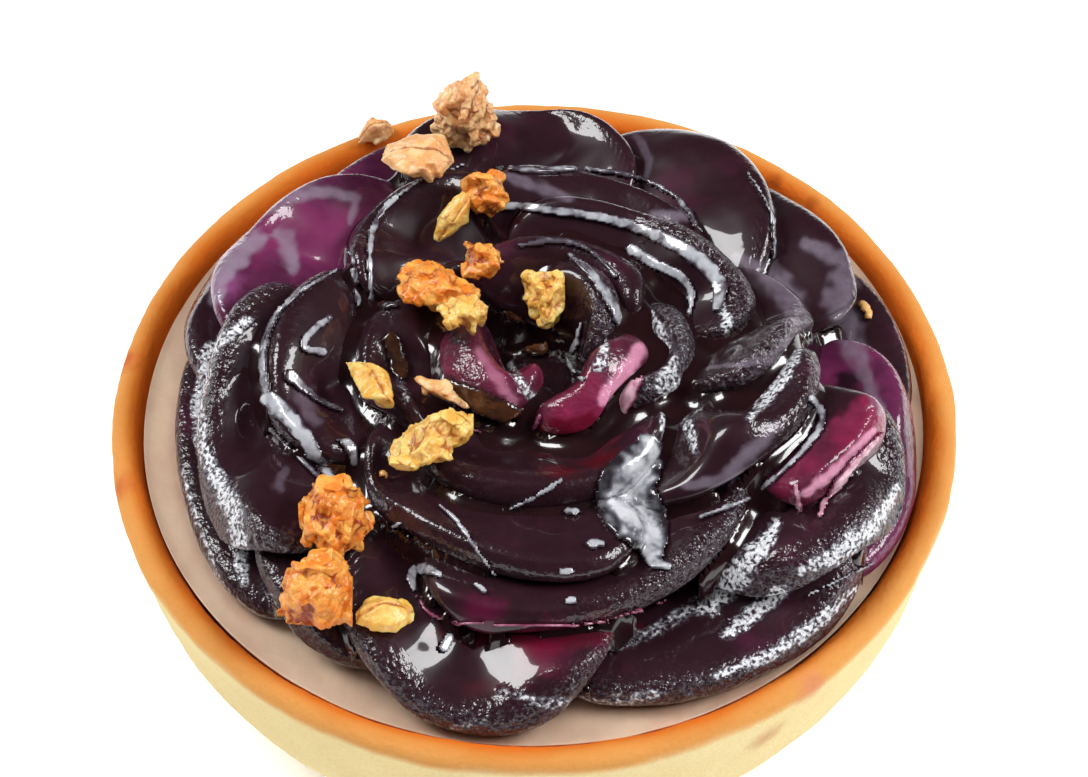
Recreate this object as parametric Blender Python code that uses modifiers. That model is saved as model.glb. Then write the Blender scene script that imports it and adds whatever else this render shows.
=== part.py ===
"""Pear and cheese tart: a turned shortcrust shell, a flat cheese filling, a rose of poached pear
slices laid one over another, and lumps and flakes of oat granola in an arc on the left.

Metres, +Z up. The origin is the middle of the flat base; -Y is the front of the tart.
The rose is laid out in its own coordinates round its heart, a point on the filling:
turn (degrees clockwise from the back, seen from above), reach (distance from the heart) and
lift (angle above the filling). A slice is a sheet in turn and reach, and each new slice is
laid on the lift that the slices under it have left, so that no two of them cross. The granola
is laid on the finished rose in the same way.
"""

import math
from collections import namedtuple

import bpy
import numpy as np

# ---------------------------------------------------------------- driving dimensions
MM = 0.001
RIM_RADIUS = 45.0 * MM  # outside of the rim
SHELL_HEIGHT = 26.0 * MM
WAIST_RADIUS = 43.0 * MM  # where the upright wall turns in towards the base
WAIST_HEIGHT = 12.5 * MM
BASE_RADIUS = 37.5 * MM
BASE_ROUND = 1.8 * MM
WALL = 3.4 * MM
FLOOR = 3.5 * MM
FILLING_DROP = 2.0 * MM  # filling below the rim
TURNED_STEPS = 60

CLEAR = 0.3 * MM  # gap that touching pieces keep
LAY_CLEAR = 0.42 * MM  # gap between laid pieces, which also takes up the flats of their faces
PEEL_THICK = 3.3 * MM  # a slice is a wedge: thick at its peeled side, thin at its cored side
CORE_THICK = 1.2 * MM
THICK_CUTS = {"pear_bud_left": 5.2 * MM, "pear_bud_front": 4.6 * MM}  # cut thicker than the rest
HEART = (1.3 * MM, 1.8 * MM, SHELL_HEIGHT - FILLING_DROP + CLEAR)
HEART_RADIUS = 6.2 * MM  # trimmings of pear that fill the middle of the rose
HEART_HEIGHT = 5.6 * MM
HEART_STEPS = 14

# A net is a sheet's points: its middle, then rings of as many points as it has sectors.
Net = namedtuple("Net", "sectors shares")
SLICE_NET = Net(18, (0.34, 0.62, 0.83, 0.95, 1.0))
LUMP_NET = Net(9, (0.5, 0.86, 1.0))

TURN_CELLS = 360
REACH_CELL = 0.5 * MM
REACH_CELLS = 100
STIFF_PASSES = 40
STIFFNESS = 0.35
SETTLING = 0.25  # pull of a slice back to its own lift
GRANOLA_SEED = 7
LEAN = 0.5  # steepest slope at which a lump rests
RAGGED = 0.2  # how far a lump's outline and top wander, as a share of its size

# The rose, from the outside in: a course of slices, how near the heart its cored sides come (mm),
# and its slices in the order they are laid: place, turn, reach of its middle, half its width,
# depth of its peeled side (mm), skew, lift of its underside, tilt (degrees; + raises its
# clockwise side) and colour.
ROSE = (
    ("rim", 20.0, (
        ("left_low", -108, 32.0, 20.0, 8.3, -6, 0, 0, "plum"),
        ("left_back", -70, 30.0, 15.5, 10.2, 0, 1, 0, "plum"),
        ("right", 82, 29.5, 15.5, 9.8, 6, 1, 0, "plum"),
        ("right_low", 111, 31.5, 15.5, 9.5, 12, 0, 0, "violet"),
        ("front_left", -142, 31.0, 12.0, 9.9, -8, 0, 0, "plum"),
        ("back_left", -30, 28.0, 13.5, 10.2, 10, 3, 0, "violet"),
        ("right_back", 55, 28.5, 15.0, 9.2, -4, 2, 0, "plum"),
        ("back_right", 33, 26.0, 15.0, 11.8, -36, 3, 0, "plum"),
        ("front_right", 151, 32.0, 18.5, 10.2, -5, 0, 0, "plum"),
        ("left_high", -61, 27.0, 15.5, 11.0, -14, 4, 0, "violet"),
        ("left", -108, 29.0, 18.5, 9.4, -15, 3, 0, "plum"),
        ("back", -6, 28.2, 14.0, 10.4, -8, 4, 0, "plum"),
        ("right_front", 125, 30.8, 14.0, 11.2, -2, 3, 0, "plum"),
        ("front", -167, 31.5, 14.5, 12.2, -8, 0, 0, "plum"),
        ("wedge", 120, 35.5, 8.0, 2.6, -10, 7, 0, "wine"),
    )),
    ("ring", 13.5, (
        ("front", 170, 26.0, 18.0, 9.0, 8, 6, 0, "plum"),
        ("left", -95, 21.0, 14.5, 10.5, -18, 9, 0, "plum"),
        ("front_left", -166, 22.0, 16.5, 9.5, -18, 12, 4, "plum"),
        ("back_left", -33, 17.5, 14.0, 11.0, -8, 15, 0, "plum"),
        ("front_right", 122, 22.5, 14.0, 10.5, -12, 10, 0, "plum"),
        ("right", 90, 20.0, 12.5, 10.5, 18, 15, 0, "plum"),
        ("back", 18, 18.5, 14.0, 8.2, -4, 15, 0, "plum"),
    )),
    ("inner", 8.5, (
        ("back_left", -64, 13.5, 9.0, 5.0, 0, 20, 0, "plum"),
        ("left", -105, 15.5, 10.5, 7.0, 0, 20, 0, "plum"),
        ("front", 178, 16.5, 14.0, 8.5, 10, 22, 0, "plum"),
        ("back", 45, 15.5, 16.0, 8.0, 12, 24, 0, "plum"),
    )),
    ("bud", 7.0, (
        ("right", 105, 14.0, 9.0, 6.5, 14, 30, -12, "plum"),
        ("back", 18, 11.5, 11.5, 6.2, 0, 41, 0, "plum"),
        ("front", 142, 12.0, 9.0, 6.2, 0, 38, 0, "wine"),
        ("inner", 55, 10.5, 8.5, 6.0, -4, 50, 0, "plum"),
        ("left", -128, 11.5, 9.0, 6.2, -10, 43, 12, "wine"),
    )),
)

# The granola: place, turn, reach, length, width and height (mm), and the heading of its length,
# in degrees anticlockwise from the direction in which turn grows.
GRANOLA = (
    ("rim", -27, 41.9, 4.4, 2.8, 2.2, 0),
    ("back_high", -15, 34.3, 7.2, 6.4, 8.0, 20),
    ("back_flake", -30, 29.7, 9.0, 5.6, 2.2, -8),
    ("ring_back", -19, 22.9, 4.2, 5.2, 3.4, 30),
    ("ring_tongue", -31, 22.0, 5.8, 2.8, 1.6, 25),
    ("cluster", -71, 18.4, 9.0, 8.0, 4.4, 40),
    ("cluster_back", -39, 17.2, 4.4, 3.4, 2.4, 20),
    ("cluster_low", -104, 18.6, 7.6, 4.8, 2.2, 0),
    ("bud", 3, 12.5, 5.4, 5.8, 3.0, 0),
    ("flake", -115, 23.6, 9.0, 3.8, 1.8, -5),
    ("sliver", -131, 19.6, 7.4, 2.2, 1.3, 21),
    ("star", -145, 24.6, 7.0, 5.8, 3.4, 15),
    ("left", -138, 33.4, 7.6, 6.6, 3.8, 30),
    ("front_left", -144, 39.7, 7.4, 6.8, 4.0, 0),
    ("crescent", -154, 37.8, 6.2, 4.0, 1.8, 20),
)

COLOURS = {
    "plum": (0.016, 0.006, 0.009),
    "violet": (0.09, 0.012, 0.045),
    "wine": (0.22, 0.02, 0.06),
    "crust": (0.72, 0.42, 0.16),
    "cheese": (0.72, 0.52, 0.40),
    "granola": (0.72, 0.38, 0.12),
}
ROUGHNESS = {"crust": 0.6, "cheese": 0.45, "granola": 0.65}
WET = 0.12  # roughness of the glazed pear


# ---------------------------------------------------------------- scene and materials
def clear_scene():
    for obj in list(bpy.data.objects):
        bpy.data.objects.remove(obj, do_unlink=True)


def food_material(name):
    material = bpy.data.materials.new(name)
    material.use_nodes = True
    shader = material.node_tree.nodes["Principled BSDF"]
    shader.inputs["Base Color"].default_value = (*COLOURS[name], 1.0)
    shader.inputs["Roughness"].default_value = ROUGHNESS.get(name, WET)
    shader.inputs["Metallic"].default_value = 0.0
    return material


def mesh_object(name, points, faces, material, collection):
    mesh = bpy.data.meshes.new(name)
    mesh.from_pydata([tuple(point) for point in points], [], faces)
    mesh.shade_smooth()
    mesh.set_sharp_from_angle(angle=math.radians(50))
    obj = bpy.data.objects.new(name, mesh)
    obj.data.materials.append(material)
    collection.objects.link(obj)
    return obj


# ---------------------------------------------------------------- turned pieces
def arc(centre_r, centre_z, radius, start, end, steps):
    """Points of an arc in the (r, z) plane, angles in degrees from +r towards +z."""
    angles = np.radians(np.linspace(start, end, steps))
    return [(centre_r + radius * math.cos(a), centre_z + radius * math.sin(a)) for a in angles]


def turned(name, profile, steps, material, collection):
    """A closed solid turned from a profile that runs down its outer side and ends on the axis."""
    mesh = bpy.data.meshes.new(name)
    points = [(r, 0.0, z) for r, z in profile]
    mesh.from_pydata(points, [(i, i + 1) for i in range(len(points) - 1)], [])
    mesh.materials.append(material)
    obj = bpy.data.objects.new(name, mesh)
    screw = obj.modifiers.new("turn", "SCREW")
    screw.steps = steps
    screw.render_steps = steps
    screw.use_merge_vertices = True
    screw.merge_threshold = 0.00001
    screw.use_smooth_shade = True
    collection.objects.link(obj)
    return obj


def wall_inside(height):
    """Radius of the shell's inner wall at a height."""
    share = (height - FLOOR) / (SHELL_HEIGHT - FLOOR)
    foot = BASE_RADIUS - WALL + 1.0 * MM
    return foot + (RIM_RADIUS - WALL - foot) * share ** 0.7


def shell(material, collection):
    lip = WALL / 2
    top = arc(RIM_RADIUS - lip, SHELL_HEIGHT - lip, lip, 180, 0, 7)
    outside = [
        (WAIST_RADIUS + 0.6 * MM, WAIST_HEIGHT + 4 * MM),
        (WAIST_RADIUS, WAIST_HEIGHT),
        (WAIST_RADIUS - 1.3 * MM, WAIST_HEIGHT - 3.5 * MM),
    ]
    foot = arc(BASE_RADIUS - BASE_ROUND, BASE_ROUND, BASE_ROUND, -15, -90, 3)
    inside = [(wall_inside(z), z) for z in np.linspace(FLOOR, SHELL_HEIGHT - lip, 4)[:-1]]
    profile = [(0.0, FLOOR), *inside, *top, *outside, *foot, (0.0, 0.0)]
    return turned("crust_shell", profile, TURNED_STEPS, material, collection)


def filling(material, collection):
    top = SHELL_HEIGHT - FILLING_DROP
    low = FLOOR + CLEAR
    side = [(wall_inside(z) - CLEAR, z) for z in np.linspace(top, low, 4)]
    profile = [(0.0, top), *side, (0.0, low)]
    return turned("cheese_filling", profile, TURNED_STEPS, material, collection)


def heart(material, collection):
    x, y, base = HEART
    angles = np.radians(np.linspace(90, 0, 5))
    dome = [(HEART_RADIUS * math.cos(a), base + HEART_HEIGHT * math.sin(a)) for a in angles]
    dome[0] = (0.0, base + HEART_HEIGHT)
    obj = turned("pear_heart", [*dome, (0.0, base)], HEART_STEPS, material, collection)
    obj.location = (x, y, 0.0)
    return obj


# ---------------------------------------------------------------- laying one sheet on others
def place(turn, reach, lift):
    """World points from the rose's own coordinates (radians and metres)."""
    out = reach * np.cos(lift)
    x = HEART[0] + out * np.sin(turn)
    y = HEART[1] + out * np.cos(turn)
    return np.stack([x, y, HEART[2] + reach * np.sin(lift)], axis=-1)


def sheet(net, across, out, turn, reach, skew, lift):
    """Turn and reach of a net's points, from its outline about its middle."""
    across, out = (
        across * math.cos(skew) - out * math.sin(skew),
        across * math.sin(skew) + out * math.cos(skew),
    )
    shares = np.concatenate([[0.0], np.repeat(net.shares, net.sectors)])
    across = shares * np.concatenate([[0.0], np.tile(across, len(net.shares))])
    out = reach + shares * np.concatenate([[0.0], np.tile(out, len(net.shares))])
    return turn + np.arctan2(across, out) / math.cos(lift), np.hypot(across, out), out


def ring_start(net, ring):
    return 1 + ring * net.sectors


def disc_faces(net, rings):
    """Triangles of a disc of the given number of rings, anticlockwise in turn and reach."""
    faces = []
    for a in range(net.sectors):
        b = (a + 1) % net.sectors
        faces.append((0, 1 + a, 1 + b))
        for ring in range(rings - 1):
            inner, outer = ring_start(net, ring), ring_start(net, ring + 1)
            faces.append((inner + a, outer + a, outer + b))
            faces.append((inner + a, outer + b, inner + b))
    return faces


def covered_cells(net, turns, reaches):
    """Cells of the cover grid under a sheet, each with its three corners and their weights."""
    grid = np.stack([np.degrees(turns) * TURN_CELLS / 360, reaches / REACH_CELL], axis=-1)
    cells, corners, weights = [], [], []
    for face in disc_faces(net, len(net.shares)):
        a, b, c = grid[list(face)]
        low = np.floor(np.minimum(np.minimum(a, b), c)).astype(int)
        high = np.ceil(np.maximum(np.maximum(a, b), c)).astype(int)
        i, j = np.meshgrid(np.arange(low[0], high[0] + 1), np.arange(low[1], high[1] + 1))
        area = (b[0] - a[0]) * (c[1] - a[1]) - (c[0] - a[0]) * (b[1] - a[1])
        v = ((i - a[0]) * (c[1] - a[1]) - (c[0] - a[0]) * (j - a[1])) / area
        w = ((b[0] - a[0]) * (j - a[1]) - (i - a[0]) * (b[1] - a[1])) / area
        inside = (v >= -1e-9) & (w >= -1e-9) & (v + w <= 1 + 1e-9)
        cells.append(np.stack([i[inside] % TURN_CELLS, j[inside]], axis=-1))
        corners.append(np.tile(face, (inside.sum(), 1)))
        weights.append(np.stack([1 - v - w, v, w], axis=-1)[inside])
    return np.concatenate(cells), np.concatenate(corners), np.concatenate(weights)


def neighbour_mean(net, levels):
    """Mean of each sheet point's neighbours, so that a slice bends like a plate."""
    rings = levels[1:].reshape(len(net.shares), net.sectors)
    middle = np.full(net.sectors, levels[0])
    padded = np.vstack([middle, rings, rings[-1:] * 2 - rings[-2:-1]])
    mean = padded[:-2] + padded[2:] + np.roll(rings, 1, axis=1) + np.roll(rings, -1, axis=1)
    return np.concatenate([[rings[0].mean()], mean.reshape(-1) / 4])


def draped_levels(net, turns, reaches, design, cover):
    """Lift of a limp sheet's underside once it lies on what the cover grid holds."""
    cells, corners, weights = covered_cells(net, turns, reaches)
    reach = np.maximum(cells[:, 1], 1) * REACH_CELL
    need = cover[cells[:, 0], cells[:, 1]] + LAY_CLEAR / reach
    levels = design.copy()
    for stiff in range(2 * STIFF_PASSES):
        short = need - (weights * levels[corners]).sum(axis=1)
        push = np.zeros_like(levels)
        for k in range(3):
            np.maximum.at(push, corners[:, k], np.clip(short, 0, None) * (weights[:, k] > 0.02))
        levels = levels + push
        if stiff < STIFF_PASSES:
            levels += STIFFNESS * (neighbour_mean(net, levels) - levels)
            levels += SETTLING * (design - levels)
    return levels


def leaning_levels(net, turns, reaches, cover):
    """Lift of a stiff sheet's underside: a slope that leans on what the cover grid holds."""
    cells, corners, weights = covered_cells(net, turns, reaches)
    under = cover[cells[:, 0], cells[:, 1]]
    turn = (weights * turns[corners]).sum(axis=1)
    reach = (weights * reaches[corners]).sum(axis=1)
    terms = np.column_stack([turn, reach, np.ones_like(turn)])
    along, outward, _ = np.linalg.lstsq(terms, under, rcond=None)[0]
    along = np.clip(along, -LEAN, LEAN) * math.cos(under.mean())
    outward = np.clip(outward * reach.mean(), -LEAN, LEAN) / reach.mean()
    levels = along * turns + outward * reaches
    return levels + (under + LAY_CLEAR / reach - (weights * levels[corners]).sum(axis=1)).max()


def add_to_cover(net, turns, reaches, lifts, cover):
    cells, corners, weights = covered_cells(net, turns, reaches)
    np.maximum.at(cover, (cells[:, 0], cells[:, 1]), (weights * lifts[corners]).sum(axis=1))


def laid_solid(net, name, turns, reaches, thick, levels, material, collection):
    """Two skins, a thickness apart as a lift, closed by a rounded edge."""
    rim = ring_start(net, len(net.shares) - 2)
    skin = ring_start(net, len(net.shares) - 1)
    top = place(turns, reaches, levels + thick)[:skin]
    top[rim:] = place(turns, reaches, levels + 0.86 * thick)[rim:skin]
    under = place(turns, reaches, levels)[:skin]
    edge = place(turns, reaches, levels + 0.45 * thick)[skin:]
    faces = disc_faces(net, len(net.shares) - 1)
    faces += [tuple(skin + i for i in face[::-1]) for face in faces]
    for a in range(net.sectors):
        b = (a + 1) % net.sectors
        for side, flip in ((rim, True), (skin + rim, False)):
            quad = ((side + a, side + b, 2 * skin + b), (side + a, 2 * skin + b, 2 * skin + a))
            faces += [face[::-1] if flip else face for face in quad]
    points = np.concatenate([top, under, edge])
    return mesh_object(name, points, faces, material, collection)


# ---------------------------------------------------------------- the rose of pear slices
def pear_slice(name, core, row, material, cover, collection):
    turn, reach, half_width, depth, skew, lift, tilt = row
    around = np.arange(SLICE_NET.sectors) * 2 * math.pi / SLICE_NET.sectors
    rise = np.sin(around)
    core_depth = max(reach - core, 2.0)
    across = half_width * MM * np.cos(around)
    out = MM * np.where(rise > 0, depth * rise, -core_depth * np.abs(rise) ** 0.75)
    turn, skew, lift, tilt = np.radians((turn, skew, lift, tilt))
    turns, reaches, out = sheet(SLICE_NET, across, out, turn, reach * MM, skew, lift)
    peel = np.minimum(1.0, 1.3 * (out - out.min()) / np.ptp(out))
    peel_thick = THICK_CUTS.get(name, PEEL_THICK)
    thick = (CORE_THICK + (peel_thick - CORE_THICK) * peel) / reaches
    design = lift + tilt * (turns - turn) / np.ptp(turns)
    levels = draped_levels(SLICE_NET, turns, reaches, design, cover)
    add_to_cover(SLICE_NET, turns, reaches, levels + thick, cover)
    return laid_solid(SLICE_NET, name, turns, reaches, thick, levels, material, collection)


def lay_rose(materials, cover, collection):
    for course, core, rows in ROSE:
        for spot, *row, colour in rows:
            name = f"pear_{course}_{spot}"
            pear_slice(name, core, row, materials[colour], cover, collection)


# ---------------------------------------------------------------- granola
def cover_rim(cover):
    """Adds the rim of the crust to the cover grid, for what lies on it."""
    turn = np.radians(np.arange(TURN_CELLS) * 360 / TURN_CELLS)[:, None]
    reach = np.maximum(np.arange(REACH_CELLS), 1)[None, :] * REACH_CELL
    x = HEART[0] + reach * np.sin(turn)
    y = HEART[1] + reach * np.cos(turn)
    on_rim = np.hypot(x, y) > RIM_RADIUS - WALL - REACH_CELL
    lift = np.arcsin(np.minimum((SHELL_HEIGHT - HEART[2]) / reach, 1.0))
    np.maximum(cover, np.where(on_rim, lift, 0.0), out=cover)


def granola_lump(name, row, rng, material, cover, collection):
    turn, reach, length, width, height, heading = row
    around = np.arange(LUMP_NET.sectors) * 2 * math.pi / LUMP_NET.sectors
    bulge = 1 + rng.uniform(-RAGGED, RAGGED, LUMP_NET.sectors)
    across = length / 2 * MM * np.cos(around) * bulge
    out = width / 2 * MM * np.sin(around) * bulge
    shares = np.concatenate([[0.0], np.repeat(LUMP_NET.shares, LUMP_NET.sectors)])
    knobs = 1 + rng.uniform(-RAGGED, RAGGED, len(shares))
    lift = cover[round(turn * TURN_CELLS / 360) % TURN_CELLS, round(reach * MM / REACH_CELL)]
    thick = height * MM * np.sqrt(1.06 - shares ** 2) * knobs
    turn, heading = math.radians(turn), math.radians(heading)
    turns, reaches, _ = sheet(LUMP_NET, across, out, turn, reach * MM, heading, lift)
    thick = thick / reaches
    levels = leaning_levels(LUMP_NET, turns, reaches, cover)
    add_to_cover(LUMP_NET, turns, reaches, levels + thick, cover)
    return laid_solid(LUMP_NET, name, turns, reaches, thick, levels, material, collection)


def scatter_granola(material, cover, collection):
    rng = np.random.default_rng(GRANOLA_SEED)
    for spot, *row in GRANOLA:
        granola_lump(f"granola_{spot}", row, rng, material, cover, collection)


def main():
    clear_scene()
    tart = bpy.data.collections.new("pear_and_cheese_tart")
    bpy.context.scene.collection.children.link(tart)
    materials = {name: food_material(name) for name in COLOURS}
    shell(materials["crust"], tart)
    filling(materials["cheese"], tart)
    heart(materials["plum"], tart)
    cover = np.zeros((TURN_CELLS, REACH_CELLS))
    lay_rose(materials, cover, tart)
    cover_rim(cover)
    scatter_granola(materials["granola"], cover, tart)


main()
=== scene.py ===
# %% [markdown]
# # A pear and cheese tart, dressed
#
# The tart is already built as plain solids: a turned crust, a flat cheese filling, thirty-one pear
# slices laid as a rose, and fifteen bits of granola. This script gives each of them the surface of
# the real thing. We start by loading those solids, which never move, and by noting their box, to
# print it beside the dressed one at the end.

# %% Load the tart and measure it
import math
import random

import bpy
import numpy as np
from mathutils import Matrix, Vector, noise
from mathutils.bvhtree import BVHTree


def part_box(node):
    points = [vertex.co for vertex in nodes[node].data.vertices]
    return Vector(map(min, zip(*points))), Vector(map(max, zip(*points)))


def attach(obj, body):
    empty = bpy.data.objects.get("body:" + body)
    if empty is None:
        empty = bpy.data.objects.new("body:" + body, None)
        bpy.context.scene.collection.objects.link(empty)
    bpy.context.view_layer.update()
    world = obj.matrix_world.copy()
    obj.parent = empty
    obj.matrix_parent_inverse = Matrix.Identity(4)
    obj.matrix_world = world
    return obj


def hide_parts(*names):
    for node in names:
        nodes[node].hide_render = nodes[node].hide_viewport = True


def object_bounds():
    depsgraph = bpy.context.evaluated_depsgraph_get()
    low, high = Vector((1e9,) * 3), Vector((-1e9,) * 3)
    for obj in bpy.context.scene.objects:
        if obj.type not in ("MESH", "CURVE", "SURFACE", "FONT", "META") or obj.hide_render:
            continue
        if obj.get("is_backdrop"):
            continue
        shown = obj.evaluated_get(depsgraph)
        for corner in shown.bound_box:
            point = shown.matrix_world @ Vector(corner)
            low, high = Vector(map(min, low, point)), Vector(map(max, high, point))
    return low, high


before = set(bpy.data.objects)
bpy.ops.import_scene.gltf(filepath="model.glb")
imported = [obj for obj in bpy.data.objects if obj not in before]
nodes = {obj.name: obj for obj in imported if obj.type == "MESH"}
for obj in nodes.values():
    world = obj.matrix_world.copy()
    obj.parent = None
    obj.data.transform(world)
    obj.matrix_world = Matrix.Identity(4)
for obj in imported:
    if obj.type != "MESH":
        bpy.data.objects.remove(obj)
cad_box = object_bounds()
MM = 0.001
rim_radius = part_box("crust_shell")[1].x
rim_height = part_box("crust_shell")[1].z
filling_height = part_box("cheese_filling")[1].z
heart = sum((Vector(corner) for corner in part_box("pear_heart")), Vector()) / 2
heart.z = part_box("pear_heart")[0].z
print(f"{len(nodes)} solids, rim {rim_radius / MM:.1f} mm out, heart at {heart / MM}")

# %% [markdown]
# ## Hands for modelling
#
# Blender's operators work on whatever is selected, and a freshly loaded file leaves everything
# selected. So each step first clears the selection and takes hold of one object.

# %% Take hold of one object, edit it, apply a modifier
TURNED_SIDES = 128


def take(*objects):
    bpy.ops.object.select_all(action="DESELECT")
    for obj in objects:
        obj.select_set(True)
    bpy.context.view_layer.objects.active = objects[-1]


def edit(*objects, select="SELECT"):
    take(*objects)
    bpy.ops.object.mode_set(mode="EDIT")
    bpy.ops.mesh.select_all(action=select)


def leave_edit():
    bpy.ops.object.mode_set(mode="OBJECT")


def edit_top(obj):
    """Goes into edit mode with only the faces that look straight up selected."""
    edit(obj, select="DESELECT")
    leave_edit()
    for face in obj.data.polygons:
        face.select = face.normal.z > 0.9
    bpy.ops.object.mode_set(mode="EDIT")


def delete_points(obj, doomed):
    edit(obj, select="DESELECT")
    leave_edit()
    obj.data.vertices.foreach_set("select", doomed)
    bpy.ops.object.mode_set(mode="EDIT")
    bpy.ops.mesh.delete(type="VERT")
    leave_edit()


def apply_modifier(obj, kind, **settings):
    take(obj)
    modifier = obj.modifiers.new(kind.lower(), kind)
    for name, value in settings.items():
        setattr(modifier, name, value)
    bpy.ops.object.modifier_apply(modifier=modifier.name)


def subdivide_surfaces(objects, levels):
    for obj in objects:
        modifier = obj.modifiers.new("round", "SUBSURF")
        modifier.levels = levels
        modifier.render_levels = levels
    take(*objects)
    bpy.ops.object.convert(target="MESH")


def merged_copies(names, old, new):
    """Copies of several solids, their loose triangles merged and paired into quads."""
    copies = []
    for name in names:
        mesh = nodes[name].data.copy()
        mesh.materials.clear()
        obj = bpy.data.objects.new(name.replace(old, new), mesh)
        bpy.context.scene.collection.objects.link(obj)
        copies.append(obj)
    edit(*copies)
    bpy.ops.mesh.remove_doubles(threshold=0.001 * MM)
    bpy.ops.mesh.tris_convert_to_quads(face_threshold=math.radians(50), shape_threshold=math.radians(70))
    leave_edit()
    return copies


def pull_ring(start, end):
    """Extrudes the selected face from one (radius, height) to the next."""
    bpy.ops.mesh.extrude_region_move(TRANSFORM_OT_translate={"value": (0.0, 0.0, end[1] - start[1])})
    bpy.ops.transform.resize(value=(end[0] / start[0], end[0] / start[0], 1.0),
                             center_override=(0.0, 0.0, end[1]))


def turn_up(name, radius, under, thick, rings, insets):
    """Pulls a thin disc up ring by ring, then closes its top with insets of (radius, drop) in mm."""
    bpy.ops.mesh.primitive_cylinder_add(vertices=TURNED_SIDES, radius=radius, depth=thick,
                                        location=(0.0, 0.0, under + thick / 2), end_fill_type="NGON")
    obj = bpy.context.object
    obj.name = name
    bpy.ops.object.transform_apply(location=True)
    edit_top(obj)
    ring = (radius, under + thick)
    for next_ring in rings:
        pull_ring(ring, next_ring)
        ring = next_ring
    radius = ring[0]
    for inner, drop in insets:
        bpy.ops.mesh.inset(thickness=radius - inner * MM)
        bpy.ops.transform.translate(value=(0.0, 0.0, -drop * MM))
        radius = inner * MM
    leave_edit()
    subdivide_surfaces([obj], 2)
    return obj


def read_vectors(items, name):
    values = np.empty(len(items) * 3, np.float32)
    items.foreach_get(name, values)
    return values.reshape(-1, 3).astype(float)


def points_of(mesh):
    return read_vectors(mesh.vertices, "co")


def normals_of(mesh):
    return read_vectors(mesh.vertex_normals, "vector")


def move_points(mesh, points):
    mesh.vertices.foreach_set("co", points.astype(np.float32).reshape(-1))
    mesh.update()


def write_attribute(mesh, name, values):
    attribute = mesh.attributes.new(name, "FLOAT", "POINT")
    attribute.data.foreach_set("value", np.asarray(values, np.float32))


def noise_at(points, scale, offset=0.0):
    """Smooth noise between -1 and 1 at each point; scale is the size of one bump."""
    return np.array([noise.noise(Vector(p / scale) + Vector((offset,) * 3)) for p in points])


def smoothstep(low, high, value):
    share = np.clip((value - low) / (high - low), 0.0, 1.0)
    return share * share * (3.0 - 2.0 * share)


def finish_piece(obj, slot, *replaced):
    obj.data.shade_smooth()
    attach(obj, "root")
    if replaced:
        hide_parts(*replaced)


# %% [markdown]
# ## Hands for materials
#
# Every finish is grown from noise in the object's own coordinates, so it stays on the tart from
# whatever side we look. These helpers add one node each, and accept for every input either a
# plain value or the output of another node.

# %% Add a node, mix two colours, ramp a value


def srgb(red, green, blue):
    """A colour as a screen shows it, from 0 to 255, turned into the light that it stands for."""
    return tuple(((c / 255 + 0.055) / 1.055) ** 2.4 if c > 10 else c / 3295 for c in (red, green, blue))


def connect(tree, socket, value):
    if isinstance(value, bpy.types.NodeSocket):
        tree.links.new(value, socket)
    elif socket.type == "RGBA" and len(value) == 3:
        socket.default_value = (*value, 1.0)
    else:
        socket.default_value = value


def add_node(tree, kind, inputs=(), **settings):
    made = tree.nodes.new(kind)
    for name, value in settings.items():
        setattr(made, name, value)
    for name, value in dict(inputs).items():
        connect(tree, made.inputs[name], value)
    return made


def place_of(tree):
    return add_node(tree, "ShaderNodeTexCoord").outputs["Object"]


def attribute(tree, name):
    return add_node(tree, "ShaderNodeAttribute", attribute_name=name).outputs["Fac"]


def grain(tree, place, size, detail=2.0, rough=0.5):
    """Noise from 0 to 1 whose blotches are about as wide as size, in metres."""
    inputs = {"Vector": place, "Scale": 1.0 / size, "Detail": detail, "Roughness": rough}
    return add_node(tree, "ShaderNodeTexNoise", inputs).outputs["Fac"]


def sum_up(tree, operation, a, b):
    return add_node(tree, "ShaderNodeMath", {0: a, 1: b}, operation=operation).outputs[0]


def times(tree, a, b):
    return sum_up(tree, "MULTIPLY", a, b)


def plus(tree, a, b):
    return sum_up(tree, "ADD", a, b)


def step(tree, value, low, high, bottom=0.0, top=1.0):
    inputs = {"Value": value, "From Min": low, "From Max": high, "To Min": bottom, "To Max": top}
    return add_node(tree, "ShaderNodeMapRange", inputs, interpolation_type="SMOOTHSTEP").outputs[0]


def mix(tree, share, a, b):
    return add_node(tree, "ShaderNodeMix", {0: share, 6: a, 7: b}, data_type="RGBA").outputs[2]


def ramp(tree, value, stops):
    made = add_node(tree, "ShaderNodeValToRGB", {"Fac": value})
    elements = made.color_ramp.elements
    while len(elements) < len(stops):
        elements.new(0.5)
    for element, (position, colour) in zip(elements, stops):
        element.position = position
        element.color = (*colour, 1.0)
    return made.outputs["Color"]


def raise_bump(tree, height, distance, under=None):
    inputs = {"Height": height, "Distance": distance, "Strength": 1.0}
    if under is not None:
        inputs["Normal"] = under
    return add_node(tree, "ShaderNodeBump", inputs).outputs["Normal"]


def bend_skin(tree, shader, skin):
    """The same bumps for a body and for the clear coat over it."""
    connect(tree, shader.inputs["Normal"], skin)
    connect(tree, shader.inputs["Coat Normal"], skin)


def new_material(name, **values):
    """A material and its main shader; values are the shader's sockets with _ for a space."""
    material = bpy.data.materials.new(name)
    material.use_nodes = True
    shader = material.node_tree.nodes["Principled BSDF"]
    for socket, value in values.items():
        shader.inputs[socket.replace("_", " ")].default_value = value
    return material, material.node_tree, shader


# %% [markdown]
# ## The camera
#
# A tart is looked at from above and a little from the front, as on the plate before us. The
# camera stands seven rim radii away with a long lens, so the circle of the rim hardly narrows
# towards the back. Its turn is built from three directions: back, right and up.

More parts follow.
